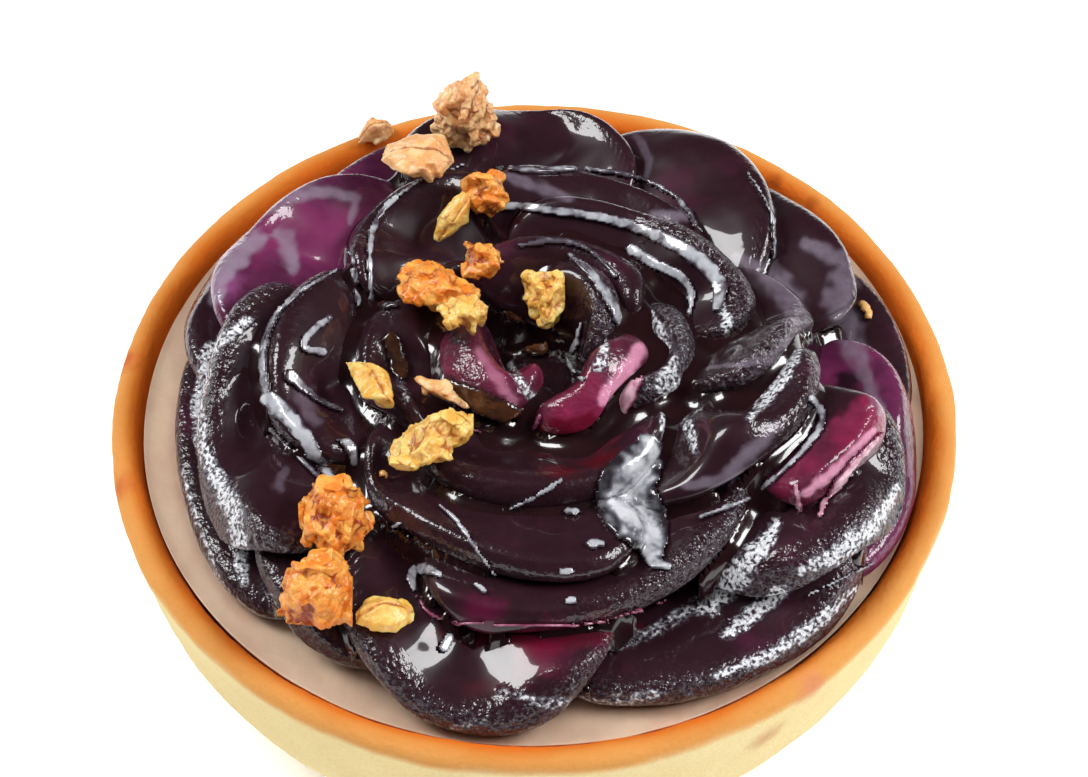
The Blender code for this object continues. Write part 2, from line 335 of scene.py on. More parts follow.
# %% Stand the camera
IMAGE_WIDTH = 1088
MIDDLE_X, MIDDLE_Y = IMAGE_WIDTH / 2, 777 / 2
FOCAL_PIXELS = 2960.2
SENSOR_WIDTH = 36.0
camera_lift = math.radians(51.324)
camera_roll = math.radians(-0.692)
camera_distance = 7 * rim_radius
look_at = Vector((0.02617 * rim_radius, 0.04358 * rim_radius, rim_height))

back = Vector((0.0, -math.cos(camera_lift), math.sin(camera_lift)))
level_up = Vector((0.0, math.sin(camera_lift), math.cos(camera_lift)))
right = Vector((math.cos(camera_roll), 0.0, 0.0)) + math.sin(camera_roll) * level_up
up = back.cross(right)
turn = Matrix((right, up, back)).transposed().to_4x4()

bpy.ops.object.camera_add()
camera = bpy.context.object
camera.name = "tart_camera"
camera.matrix_world = Matrix.Translation(look_at + camera_distance * back) @ turn
camera.data.lens = FOCAL_PIXELS / IMAGE_WIDTH * SENSOR_WIDTH
camera.data.sensor_width = SENSOR_WIDTH
camera.data.clip_start = 0.01
bpy.context.scene.camera = camera
print(f"camera {camera_distance / MM:.0f} mm from the tart, lens {camera.data.lens:.1f} mm")

# %% [markdown]
# ## Light and floor
#
# Glazed food is lit by what it mirrors. Small bright boxes at the sides draw the pale streaks on
# the wet slices, and the space above the tart is kept dim, so that the flat faces stay dark. A
# box is described by how bright it looks, and its power follows from that.

# %% Hang the soft boxes and lay the floor


def soft_box(name, turn, lift, distance, width, height, brightness, mirrored=True):
    """An area lamp that looks at the rim; turn is clockwise from the back, in degrees.

    One that isn't mirrored only fills the shade: the glaze doesn't show it."""
    turn, lift = math.radians(turn), math.radians(lift)
    towards = Vector((math.cos(lift) * math.sin(turn), math.cos(lift) * math.cos(turn), math.sin(lift)))
    place = Vector((0.0, 0.0, rim_height)) + distance * towards
    bpy.ops.object.light_add(type="AREA", location=place)
    lamp = bpy.context.object
    lamp.name = name
    lamp.rotation_euler = towards.to_track_quat("Z", "Y").to_euler()
    lamp.data.shape = "RECTANGLE"
    lamp.data.size = width
    lamp.data.size_y = height
    lamp.data.energy = brightness * math.pi * width * height
    lamp.visible_glossy = mirrored


boxes = (
    ("box_left", -72, 45, 0.62, 0.20, 0.34, 14.0),
    ("box_right", 92, 42, 0.62, 0.34, 0.20, 14.5),
    ("fill_front", 180, 14, 0.90, 0.60, 0.20, 3.0, False),
    ("fill_above", 160, 80, 0.90, 0.70, 0.70, 2.2, False),
)
for row in boxes:
    soft_box(*row)

world = bpy.data.worlds.new("studio")
world.use_nodes = True
sky = add_node(world.node_tree, "ShaderNodeTexCoord").outputs["Generated"]
sky_height = add_node(world.node_tree, "ShaderNodeSeparateXYZ", {"Vector": sky}).outputs["Z"]
sky_front = add_node(world.node_tree, "ShaderNodeSeparateXYZ", {"Vector": sky}).outputs["Y"]
sky_light = times(world.node_tree, step(world.node_tree, sky_height, 0.02, 0.5, 1.3, 0.16),
                   step(world.node_tree, sky_front, -0.5, 0.1, 0.22, 1.0))
connect(world.node_tree, world.node_tree.nodes["Background"].inputs["Strength"], sky_light)
bpy.context.scene.world = world
bpy.context.scene.view_settings.view_transform = "Standard"

FLOOR_SIZE = 3.0
bpy.ops.mesh.primitive_plane_add(size=FLOOR_SIZE)
floor = bpy.context.object
floor.name = "studio_floor"
floor_paint, floor_tree, floor_shader = new_material(
    "white_floor", Roughness=0.7, Emission_Color=(1.0, 1.0, 1.0, 1.0), Emission_Strength=0.28)
floor_grain = grain(floor_tree, place_of(floor_tree), 0.02)
connect(floor_tree, floor_shader.inputs["Base Color"],
        mix(floor_tree, floor_grain, (0.93, 0.93, 0.93), (0.96, 0.96, 0.96)))
floor.data.materials.append(floor_paint)
floor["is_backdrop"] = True
print(f"{len(boxes)} soft boxes over a floor of {FLOOR_SIZE} m")

# %% [markdown]
# ## The crust
#
# A tart shell is baked in a ring, so it is turned, but never quite true. A disc is the base, and
# the wall is pulled up ring by ring, over the lip and down the inside to the floor. Each ring is
# an extrusion followed by a resize. A subdivision surface rounds the steps, and noise then bends
# the wall and gives it its crumb.

# %% Raise the shell, ring by ring
WALL = 3.4 * MM
LIP = WALL / 2
lip_centre = rim_radius - LIP


def lip_ring(degrees):
    angle = math.radians(degrees)
    return lip_centre + LIP * math.cos(angle), rim_height - LIP + LIP * math.sin(angle)


crust_rings = [(radius * MM, height * MM) for radius, height in (
    (36.6, 0.0), (37.3, 0.7), (37.6, 1.6), (39.6, 5.0), (41.7, 9.0), (43.0, 12.5), (43.4, 15.0),
    (43.8, 18.0), (44.3, 21.0))]
crust_rings += [lip_ring(angle) for angle in (0, 24, 48, 72, 90, 108, 132, 156, 180)]
crust_rings += [(radius * MM, height * MM) for radius, height in (
    (41.3, 23.4), (41.0, 22.0), (40.2, 19.0), (38.6, 13.0), (36.6, 7.0), (34.8, 3.5))]

crust = turn_up("crust", 35.0 * MM, 0.0, 0.2 * MM, crust_rings, ((24.0, 0.0), (12.0, 0.0), (3.0, 0.0)))
print(f"crust: {len(crust.data.polygons)} faces")

# %% [markdown]
# The baked shell leans in and out by a fraction of a millimetre round its rim, and its skin is
# sandy. Both are moves along the normal, with slow noise and with fine noise. A small even step
# inward keeps the skin within the plain solid.

# %% Make the crust uneven
INWARD = 0.12
points, normals = points_of(crust.data), normals_of(crust.data)
above_base = smoothstep(1.0 * MM, 4.0 * MM, points[:, 2])
lean = 0.16 * noise_at(points, 13 * MM) + 0.10 * noise_at(points, 4.5 * MM, 3.0)
sand = 0.05 * noise_at(points, 1.3 * MM, 7.0) + 0.03 * noise_at(points, 0.6 * MM, 11.0)
points += normals * ((lean + sand - INWARD) * MM * above_base)[:, None]
move_points(crust.data, points)
print(f"crust reaches {np.hypot(points[:, 0], points[:, 1]).max() / MM:.2f} mm")

# %% [markdown]
# The colour of a crust tells its baking. The lip browns first, deepest on its inner side where
# butter gathers, and the wall, shaded by the ring, stays the pale yellow of the dough. Radius
# chooses the colour across the lip, and height fades it into the wall.

# %% Bake the crust


def add_spots(tree, place, colour, spots):
    """Lays round stains with soft ragged edges over a colour."""
    ragged = grain(tree, place, 1.6 * MM, 3.0)
    for centre, size, tint, most in spots:
        apart = add_node(tree, "ShaderNodeVectorMath", {0: place, 1: tuple(c * MM for c in centre)},
                         operation="DISTANCE").outputs["Value"]
        apart = plus(tree, apart, times(tree, ragged, 0.9 * size * MM))
        share = step(tree, apart, 0.5 * size * MM, 1.45 * size * MM, most, 0.0)
        colour = mix(tree, share, colour, srgb(*tint))
    return colour


crust_paint, tree, shader = new_material("baked_crust", Roughness=0.75, Specular_IOR_Level=0.08)
place = place_of(tree)
axes = add_node(tree, "ShaderNodeSeparateXYZ", {"Vector": place})
around = add_node(tree, "ShaderNodeCombineXYZ", {"X": axes.outputs["X"], "Y": axes.outputs["Y"]})
from_axis = add_node(tree, "ShaderNodeVectorMath", {0: around.outputs[0]}, operation="LENGTH")
blotch = grain(tree, place, 9 * MM, 3.0, 0.6)
uneven = times(tree, sum_up(tree, "SUBTRACT", blotch, 0.5), 1.6 * MM)
across = plus(tree, from_axis.outputs["Value"], uneven)
across = step(tree, across, rim_radius - WALL - 0.5 * MM, rim_radius + 0.1 * MM)
lip_colour = ramp(tree, across, (
    (0.0, srgb(238, 112, 32)), (0.16, srgb(218, 104, 28)), (0.34, srgb(206, 112, 38)),
    (0.55, srgb(206, 128, 58)), (0.78, srgb(214, 144, 74)), (1.0, srgb(224, 158, 86))))
low_wall = mix(tree, blotch, srgb(240, 226, 176), srgb(232, 208, 146))
down = plus(tree, axes.outputs["Z"], uneven)
outside = step(tree, from_axis.outputs["Value"], rim_radius - 2.2 * MM, rim_radius - 0.9 * MM)
well_below = step(tree, down, rim_height - 6.0 * MM, rim_height - 3.6 * MM, 1.0, 0.0)
below_lip = step(tree, down, rim_height - 2.6 * MM, rim_height - 0.8 * MM, 1.0, 0.0)
pale = times(tree, sum_up(tree, "MAXIMUM", outside, well_below), below_lip)
colour = mix(tree, pale, lip_colour, low_wall)
speckle = step(tree, grain(tree, place, 0.3 * MM, 2.0), 0.35, 0.75)
colour = mix(tree, times(tree, speckle, 0.14), colour, srgb(196, 128, 60))
crust_stains = (
    ((-44.0, 7.0, 25.0), 2.6, (190, 70, 34), 0.75),
    ((-43.0, -10.0, 25.0), 2.4, (196, 82, 44), 0.6),
    ((27.4, 32.0, 25.6), 1.5, (150, 66, 20), 0.7),
    ((31.5, 28.5, 25.6), 1.3, (160, 74, 26), 0.65),
    ((27.5, -35.6, 24.5), 3.0, (214, 130, 104), 0.6),
    ((23.0, -37.6, 19.0), 3.2, (190, 120, 84), 0.6),
    ((-6.0, 42.0, 25.0), 2.0, (196, 70, 50), 0.5),
)
colour = add_spots(tree, place, colour, crust_stains)
connect(tree, shader.inputs["Base Color"], colour)
crumb = plus(tree, grain(tree, place, 0.7 * MM, 4.0, 0.6), grain(tree, place, 2.4 * MM, 2.0))
connect(tree, shader.inputs["Normal"], raise_bump(tree, crumb, 0.12 * MM))
crust.data.materials.append(crust_paint)
finish_piece(crust, "crust", "crust_shell")
print(f"crust baked with {len(crust_stains)} stains")

# %% [markdown]
# ## The cheese filling
#
# Only a thin crescent of the filling shows between the crust and the fruit. It was poured, so it
# creeps up a little where it meets the wall, and juice from the pears has tinted it pink
# wherever a slice lies close. Every point keeps how near the closest slice is, as an attribute
# that the material reads.

# %% Pour the filling
slice_names = sorted(name for name in nodes if name.startswith("pear_"))
granola_names = sorted(name for name in nodes if name.startswith("granola_"))


def tree_of(names):
    """One search tree over the triangles of several solids."""
    points, faces = [], []
    for name in names:
        start = len(points)
        mesh = nodes[name].data
        points += [vertex.co.copy() for vertex in mesh.vertices]
        faces += [[start + i for i in face.vertices] for face in mesh.polygons]
    return BVHTree.FromPolygons(points, faces)


rose_tree = tree_of(slice_names)
filling_rings = ((36.4 * MM, 7.0 * MM), (38.4 * MM, 13.0 * MM), (40.0 * MM, 19.0 * MM),
                 (41.2 * MM, filling_height - 0.4 * MM), (41.5 * MM, filling_height + 0.35 * MM))
filling_insets = ((41.1, 0.12), (40.6, 0.12), (39.8, 0.08), (38.5, 0.03), (36.5, 0.0), (34.0, 0.0),
                  (31.0, 0.0), (27.0, 0.0), (20.0, 0.0), (10.0, 0.0), (3.0, 0.0))
filling = turn_up("cheese", 34.6 * MM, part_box("cheese_filling")[0].z, 0.4 * MM, filling_rings, filling_insets)
points = points_of(filling.data)
on_top = smoothstep(filling_height - 0.8 * MM, filling_height - 0.2 * MM, points[:, 2])
points[:, 2] += on_top * (0.10 * noise_at(points, 6 * MM) + 0.05 * noise_at(points, 2 * MM)) * MM
move_points(filling.data, points)
near = [rose_tree.find_nearest(Vector(p))[3] if share > 0 else 1.0 for p, share in zip(points, on_top)]
write_attribute(filling.data, "juice", np.exp(-np.array(near) / (0.8 * MM)))
print(f"filling: {len(filling.data.polygons)} faces")

# %% Colour the filling
cheese_paint, tree, shader = new_material(
    "cheese_cream", Roughness=0.38, Subsurface_Weight=0.15, Subsurface_Scale=0.002, Coat_Weight=0.35,
    Coat_Roughness=0.22)
place = place_of(tree)
cloud = grain(tree, place, 7 * MM, 3.0)
colour = mix(tree, step(tree, cloud, 0.35, 0.7), srgb(216, 188, 162), srgb(206, 172, 148))
ragged = times(tree, grain(tree, place, 1.8 * MM, 3.0), 0.9)
juice = times(tree, attribute(tree, "juice"), plus(tree, ragged, 0.5))
colour = mix(tree, step(tree, juice, 0.05, 1.1, 0.0, 0.85), colour, srgb(150, 84, 74))
connect(tree, shader.inputs["Base Color"], colour)
skin = plus(tree, grain(tree, place, 1.1 * MM, 3.0), grain(tree, place, 4 * MM))
connect(tree, shader.inputs["Normal"], raise_bump(tree, skin, 0.08 * MM))
filling.data.materials.append(cheese_paint)
finish_piece(filling, "cheese", "cheese_filling")

# %% [markdown]
# ## The granola
#
# Baked oat clusters are crags of flakes stuck together with honey. One flattened sphere is
# copied, turned and stretched, into the skin of each plain lump, and a voxel remesh melts the lot
# together. Ridged noise then cuts it into crags. How deep a point sits is kept as an attribute,
# so that the crevices can be painted darker, as painted shade.

# %% Build the clusters
VOXEL = 0.15 * MM
FLAT_BITS = ("back_flake", "flake", "sliver", "crescent", "ring_tongue", "rim")
bpy.ops.mesh.primitive_ico_sphere_add(subdivisions=2, radius=1.0)
one_flake = bpy.context.object
one_flake.scale = (1.0, 0.72, 0.36)
bpy.ops.object.transform_apply(scale=True)


def flake_on(obj, rng, size):
    """A copy of the flake, pressed at a random turn into a random face."""
    face = obj.data.polygons[rng.randrange(len(obj.data.polygons))]
    turn = face.normal.to_track_quat("Z", "Y").to_matrix() @ Matrix.Rotation(rng.uniform(0, math.tau), 3, "Z")
    turn = turn @ Matrix.Rotation(rng.uniform(-0.9, 0.9), 3, "X")
    stretch = Matrix.Diagonal([size * rng.uniform(0.7, 1.4) for _ in range(3)])
    bit = bpy.data.objects.new("flake", one_flake.data.copy())
    bit.data.transform(Matrix.Translation(face.center) @ (turn @ stretch).to_4x4())
    bpy.context.scene.collection.objects.link(bit)
    return bit


def crease_line(points, normals):
    """How near each top point lies to the fold down the middle of an oat flake."""
    spread = points - points.mean(axis=0)
    narrow = np.linalg.svd(spread, full_matrices=False)[2][1]
    wander = 0.25 * MM * noise_at(points, 2 * MM)
    return np.exp(-((spread @ narrow + wander) / (0.25 * MM)) ** 2) * (normals[:, 2] > 0.2)


def build_bit(obj, name, index):
    rng = random.Random(40 + index)
    low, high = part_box(name)
    flat = name.replace("granola_", "") in FLAT_BITS
    size = (high - low).length
    bits = [flake_on(obj, rng, size * rng.uniform(0.08, 0.17)) for _ in range(2 if flat else 16)]
    take(*bits, obj)
    bpy.ops.object.join()
    apply_modifier(obj, "REMESH", mode="VOXEL", voxel_size=VOXEL)
    points, normals = points_of(obj.data), normals_of(obj.data)
    cells = np.array([noise.voronoi(Vector(p / (1.3 * MM)))[0] for p in points])
    edges = cells[:, 1] - cells[:, 0]
    shift = Vector((index, 0, 0))
    ridged = np.array([
        noise.ridged_multi_fractal(Vector(p / (2.6 * MM)) + shift, 1.0, 2.1, 4, 0.9, 1.4) for p in points])
    ridged = (ridged - ridged.mean()) / max(ridged.std(), 1e-6)
    # How deep in a crevice a point lies, which the colour uses for painted shade.
    deep = smoothstep(0.28, 0.0, edges) * 0.6 + smoothstep(0.4, -1.4, ridged) * 0.6
    crag = (0.06 if flat else 0.20) * np.clip(ridged, -1.8, 1.8)
    crag += (0.03 if flat else 0.05) * noise_at(points, 0.55 * MM, 3.0)
    crag -= (0.0 if flat else 0.08) * smoothstep(0.2, 0.0, edges)
    points += normals * (crag * MM)[:, None]
    if flat:
        crease = crease_line(points, normals)
        points[:, 2] -= 0.30 * MM * crease
        deep = np.maximum(deep * 0.6, crease)
    points = np.clip(points, np.array(low) - 0.2 * MM, np.array(high) + 0.2 * MM)
    move_points(obj.data, points)
    write_attribute(obj.data, "crevice", deep)


# %% Bake the granola


def oat_material(name, light, mid, dark):
    material, tree, shader = new_material(
        name, Roughness=0.42, Subsurface_Weight=0.35, Subsurface_Scale=0.0014, Coat_Weight=0.3,
        Coat_Roughness=0.2)
    place = place_of(tree)
    patch = grain(tree, place, 1.7 * MM, 3.0, 0.6)
    colour = mix(tree, step(tree, patch, 0.38, 0.62), srgb(*light), srgb(*mid))
    # Painted shade: the crevices and the folds of the flakes take the dark colour.
    depth = times(tree, attribute(tree, "crevice"), grain(tree, place, 0.9 * MM, 2.0))
    colour = mix(tree, step(tree, depth, 0.2, 0.6), colour, srgb(*dark))
    connect(tree, shader.inputs["Base Color"], colour)
    flour = plus(tree, grain(tree, place, 0.35 * MM, 3.0), grain(tree, place, 1.0 * MM, 2.0))
    connect(tree, shader.inputs["Normal"], raise_bump(tree, flour, 0.12 * MM))
    return material


oat_finishes = {
    "orange": oat_material("oat_honey", (242, 172, 80), (226, 128, 38), (158, 62, 14)),
    "gold": oat_material("oat_gold", (244, 206, 120), (230, 172, 76), (178, 102, 34)),
    "tan": oat_material("oat_tan", (244, 200, 146), (226, 164, 102), (160, 92, 48)),
}
ORANGE = ("cluster", "left", "front_left", "ring_back", "cluster_back")
GOLD = ("bud", "star", "crescent", "cluster_low", "ring_tongue", "flake")
faces = 0
for index, (name, piece) in enumerate(zip(granola_names, merged_copies(granola_names, "granola_", "oat_"))):
    build_bit(piece, name, index)
    spot = name.replace("granola_", "")
    tint = "orange" if spot in ORANGE else "gold" if spot in GOLD else "tan"
    piece.data.materials.append(oat_finishes[tint])
    finish_piece(piece, "granola", name)
    faces += len(piece.data.polygons)
bpy.data.objects.remove(one_flake)
print(f"{len(granola_names)} bits of granola, {faces} faces")

# %% [markdown]
# ## The pear slices
#
# Each slice is cut from a pear poached whole in red wine: nearly black, wet, smooth on its cut
# face, and gritty along its outer edge, where a pear keeps its stone cells. We copy the plain
# solid, pair its triangles into quads and let a subdivision surface round them. Slow noise then
# makes the cut face ripple, and finer noise raises the grit in a band along the peeled side.

# %% Find the peeled side of a slice
PEEL_BAND = 3.4 * MM
TURN_BINS = 288


def rose_place(points):
    """Turn and reach of points about the heart."""
    away = points - np.array(heart)
    return np.arctan2(away[:, 0], away[:, 1]), np.linalg.norm(away, axis=1)


def peel_share(points):
    """How near each point is to the outer outline, from 0 to 1."""
    turns, reaches = rose_place(points)
    middle = math.atan2(np.sin(turns).mean(), np.cos(turns).mean())
    apart = (turns - middle + math.pi) % (2 * math.pi) - math.pi
    bins = ((apart + math.pi) / (2 * math.pi) * TURN_BINS).astype(int)
    furthest = np.zeros(TURN_BINS)
    np.maximum.at(furthest, bins, reaches)
    return smoothstep(-PEEL_BAND, -0.2 * MM, reaches - furthest[bins]), apart


# %% [markdown]
# The grit isn't even. Some slices show it along the whole peeled side, others only at one end. A
# small table says how strong it is on each slice and to which side it leans.

# %% Say where the grit lies
GRIT = {
    "pear_inner_back": (1.0, 1), "pear_ring_right": (1.0, 1), "pear_ring_front": (1.0, -1),
    "pear_rim_right_front": (1.0, 0), "pear_rim_front_right": (0.9, 0), "pear_rim_front": (0.8, 0),
    "pear_bud_right": (1.3, 0), "pear_bud_inner": (1.0, 1), "pear_rim_left": (1.0, 0),
    "pear_bud_left": (0.4, 0), "pear_ring_front_right": (0.7, -1), "pear_rim_left_low": (0.5, 0),
    "pear_rim_front_left": (0.5, 0),
}
SLICE_LEVELS = 3


def dress_slice(obj, name):
    points, normals = points_of(obj.data), normals_of(obj.data)
    peel, apart = peel_share(points)
    strength, side = GRIT.get(name, (0.25, 0))
    half = max(abs(apart).max(), 1e-6)
    gritty = peel * strength * smoothstep(-0.5, 0.4, apart / half * side if side else 1.0 + 0 * apart)
    swell = 0.22 * noise_at(points, 7.5 * MM) + 0.03 * noise_at(points, 2.6 * MM, 5.0)
    grit = 0.09 * noise_at(points, 1.1 * MM, 9.0) * gritty
    points += normals * ((swell + grit) * MM)[:, None]
    move_points(obj.data, points)
    write_attribute(obj.data, "peel", peel)
    write_attribute(obj.data, "grit", gritty)
    paint_marks(obj.data, points, normals)


# %% [markdown]
# ## Marks drawn in the picture: painted glints, reflections and highlights
#
# Some marks sit at one place only, and most are light painted into the colour: painted glints
# on a crust of stone cells, a grey painted reflection, pink painted highlights, darker patches,
# and a red one where light comes through. We draw each in the picture: a chain of places with a
# half width, all in picture pixels. Every point of a slice looks up where it lies in the picture,
# and keeps how far inside a mark that is.

# %% Draw the marks
# Bands of stone cells: real grit, whose colour also gets painted glints, as painted highlights.
GRIT_AND_GLINT_RUNS = (
    (0.8, ((248, 320, 8), (208, 352, 10), (198, 400, 11), (200, 440, 10), (212, 470, 12), (232, 506, 15),
           (240, 548, 12), (244, 584, 8))),
    (0.55, ((182, 470, 3), (196, 520, 5), (214, 566, 5), (234, 610, 5))),
    (0.9, ((804, 340, 7), (785, 372, 13), (768, 396, 11), (750, 418, 5))),
    (0.8, ((648, 310, 6), (662, 336, 12), (668, 366, 15), (676, 396, 14), (690, 430, 8), (695, 452, 4))),
    (0.8, ((660, 382, 8), (666, 426, 8), (664, 452, 8))),
    (1.0, ((776, 524, 8), (758, 550, 15), (732, 580, 20), (706, 604, 16))),
    (0.95, ((782, 590, 10), (752, 614, 13), (728, 634, 8))),
    (0.5, ((690, 608, 10), (650, 632, 10), (612, 648, 8))),
    (0.85, ((898, 488, 6), (878, 520, 13), (842, 550, 15), (800, 572, 8))),
    (0.75, ((856, 588, 5), (820, 622, 11), (770, 655, 10), (716, 676, 6))),
    (0.9, ((606, 346, 6), (599, 366, 9))),
    (0.85, ((718, 300, 6), (728, 320, 9), (726, 340, 6))),
    (0.9, ((502, 350, 4), (516, 374, 7), (530, 396, 6))),
    (0.55, ((270, 596, 6), (282, 632, 8), (300, 660, 6))),
    (0.6, ((396, 372, 6), (408, 398, 6))),
    (0.5, ((356, 352, 4), (350, 366, 6))),
    (0.55, ((500, 690, 5), (540, 702, 10), (600, 706, 11), (660, 694, 9))),
    (0.45, ((330, 690, 6), (380, 722, 6), (430, 736, 6), (486, 720, 6))),
)
# Grey painted reflections, where the wet slices mirror the light.
REFLECTION_RUNS = (
    (0.5, ((508, 176, 8), (545, 190, 10), (570, 198, 6))),
    (0.6, ((655, 215, 8), (686, 216, 8))),
    (0.5, ((734, 256, 6), (772, 276, 18), (794, 304, 20), (800, 330, 12), (776, 354, 7), (740, 364, 4))),
    (0.6, ((796, 352, 6), (770, 362, 5), (702, 368, 2))),
    (0.55, ((776, 428, 10), (745, 456, 11), (727, 478, 11), (686, 486, 7))),
    (0.5, ((806, 244, 10), (846, 262, 16), (840, 300, 24), (850, 340, 20), (866, 376, 12), (880, 410, 8))),
    (0.6, ((266, 212, 6), (296, 196, 9), (326, 191, 9), (356, 198, 8), (350, 224, 4))),
    (0.9, ((214, 300, 9), (228, 264, 16), (256, 240, 14))),
    (0.7, ((284, 236, 14), (292, 266, 11))),
    (0.4, ((300, 396, 12), (316, 420, 10))),
    (0.35, ((286, 470, 6), (278, 486, 10))),
    (0.4, ((636, 136, 7), (650, 160, 6), (646, 176, 5))),
    (0.35, ((430, 150, 8), (448, 140, 8))),
)
RED_RUNS = (
    (0.9, ((536, 430, 12), (566, 428, 14), (590, 418, 10))),
    (0.6, ((540, 452, 8), (566, 446, 14), (596, 444, 14), (622, 428, 8))),
    (0.5, ((430, 634, 8), (480, 640, 12), (560, 644, 14), (640, 628, 8))),
    (0.3, ((470, 690, 14), (520, 680, 16))),
)
# Pink painted highlights on the bright slices.
PINK_HIGHLIGHTS = (
    (0.9, ((640, 350, 10), (622, 376, 14), (604, 398, 10))),
    (0.8, ((874, 430, 5), (840, 466, 8), (806, 492, 7))),
    (0.4, ((478, 352, 8), (500, 384, 9), (514, 404, 8))),
)
DARK_RUNS = (
    (1.0, ((772, 462, 20), (806, 424, 22), (850, 386, 22))),
    (0.9, ((444, 326, 16), (462, 336, 14))),
    (0.7, ((452, 380, 10), (470, 404, 10))),
)
PAINTED_MARKS = {"stone": GRIT_AND_GLINT_RUNS, "haze": REFLECTION_RUNS, "red": RED_RUNS, "pink": PINK_HIGHLIGHTS, "dark": DARK_RUNS}
print({name: len(runs) for name, runs in PAINTED_MARKS.items()})

# %% Look up a point in the picture


def in_picture(points):
    """Pixels of points, in a picture as wide as IMAGE_WIDTH."""
    seen = points - np.array(camera.matrix_world.translation)
    away = -(seen @ np.array(back))
    across, above = seen @ np.array(right), seen @ np.array(up)
    return MIDDLE_X + FOCAL_PIXELS * across / away, MIDDLE_Y - FOCAL_PIXELS * above / away


def inside_runs(x, y, runs):
    """Depth inside the nearest run, in pixels and as a share of its width, and the strength of its mark."""
    depth, share_in, strength = np.full(x.shape, -9.0), np.zeros(x.shape), np.zeros(x.shape)
    for milky, path in runs:
        for (ax, ay, ar), (bx, by, br) in zip(path, path[1:]):
            share = ((x - ax) * (bx - ax) + (y - ay) * (by - ay)) / ((bx - ax) ** 2 + (by - ay) ** 2)
            share = np.clip(share, 0.0, 1.0)
            half = ar + share * (br - ar)
            within = half - np.hypot(x - ax - share * (bx - ax), y - ay - share * (by - ay))
            strength = np.where(within > depth, milky, strength)
            share_in = np.where(within > depth, within / half, share_in)
            depth = np.maximum(depth, within)
    return depth, share_in, strength


def paint_marks(mesh, points, normals):
    """Writes one attribute for each kind of mark, only where the surface faces the camera."""
    x, y = in_picture(points)
    wander = noise_at(np.stack([x, y, 0 * x], axis=-1), 10.0)
    facing = smoothstep(0.05, 0.3, normals @ np.array(back))
    for name, runs in PAINTED_MARKS.items():
        _, share_in, strength = inside_runs(x, y, runs)
        soft = smoothstep(-0.1, 0.75, share_in + 0.4 * wander * (share_in > 0))
        write_attribute(mesh, name, strength * soft * (share_in > 0) * facing)


# %% [markdown]
# Poached pear is stained right through, but unevenly. Thick parts look black and thin ones let
# wine red through. All slices share one recipe, with three sets of colours: plum for most,
# violet for those where the sheen shows purple, and wine for the three bright ones. Each recipe
# also paints light into the colour: a painted sheen over the fibres, painted glints on the grit,
# and the marks drawn in the picture. A clear coat stands for the syrup that covers them.

# %% Stain the pear


def pear_material(name, deep, lit, share, painted_sheen, spots):
    material, tree, shader = new_material(
        name, Roughness=0.36, Specular_IOR_Level=0.22, Coat_Weight=1.0, Coat_Roughness=0.05, Coat_IOR=1.45)
    place = place_of(tree)
    peel, grit = attribute(tree, "peel"), attribute(tree, "grit")
    blotch = grain(tree, place, 11 * MM, 3.0, 0.55)
    thin = step(tree, blotch, 1.0 - share, 1.25 - share)
    colour = mix(tree, thin, srgb(*deep), srgb(*lit))
    # Painted sheen: a paler purple-grey laid over the fibres stands in for the light the wet skin mirrors.
    fibre = grain(tree, place, 1.5 * MM, 3.0)
    colour = mix(tree, times(tree, fibre, 0.25), colour, srgb(*painted_sheen))
    colour = add_spots(tree, place, colour, spots)
    streaks = plus(tree, grain(tree, place, 2.2 * MM, 3.0, 0.6), 0.5)
    # The marks: darker patches, red where light comes through, a grey painted reflection and pink painted
    # highlights.
    for mark, tint, most in (("dark", (34, 17, 24), 0.95), ("red", (96, 8, 30), 0.9),
                             ("haze", (146, 132, 150), 0.75), ("pink", (226, 150, 182), 0.85)):
        shown = times(tree, attribute(tree, mark), streaks)
        colour = mix(tree, step(tree, shown, 0.0, 1.0, 0.0, most), colour, srgb(*tint))
    # Painted glints: specks on the grit turn grey, then white, for the light the wet stone cells catch.
    speck = sum_up(tree, "SUBTRACT", grain(tree, place, 0.42 * MM, 2.0), 0.5)
    stone = sum_up(tree, "MAXIMUM", attribute(tree, "stone"), times(tree, grit, 0.24))
    glint = times(tree, stone, plus(tree, times(tree, speck, 4.5), 0.95))
    colour = mix(tree, step(tree, glint, 0.12, 0.5, 0.0, 0.8), colour, srgb(92, 90, 98))
    colour = mix(tree, step(tree, glint, 0.4, 1.0), colour, srgb(224, 225, 230))
    connect(tree, shader.inputs["Base Color"], colour)
    ripple = raise_bump(tree, grain(tree, place, 5 * MM, 1.0), 0.3 * MM)
    bumpy = times(tree, grain(tree, place, 0.7 * MM, 2.0), sum_up(tree, "MAXIMUM", stone, grit))
    bend_skin(tree, shader, raise_bump(tree, bumpy, 0.6 * MM, under=ripple))
    return material


plum_spots = (
    ((0.5, -34.5, 30.8), 4.2, (104, 14, 50), 0.75), ((-5.3, -31.9, 33.1), 3.6, (96, 16, 54), 0.7),
    ((7.5, -33.0, 31.5), 3.4, (84, 14, 44), 0.6), ((6.7, -15.0, 35.6), 3.0, (96, 8, 20), 0.8),
    ((2.7, -17.0, 36.7), 2.6, (84, 8, 20), 0.7), ((33.4, 2.0, 30.0), 3.0, (70, 20, 44), 0.6),
)
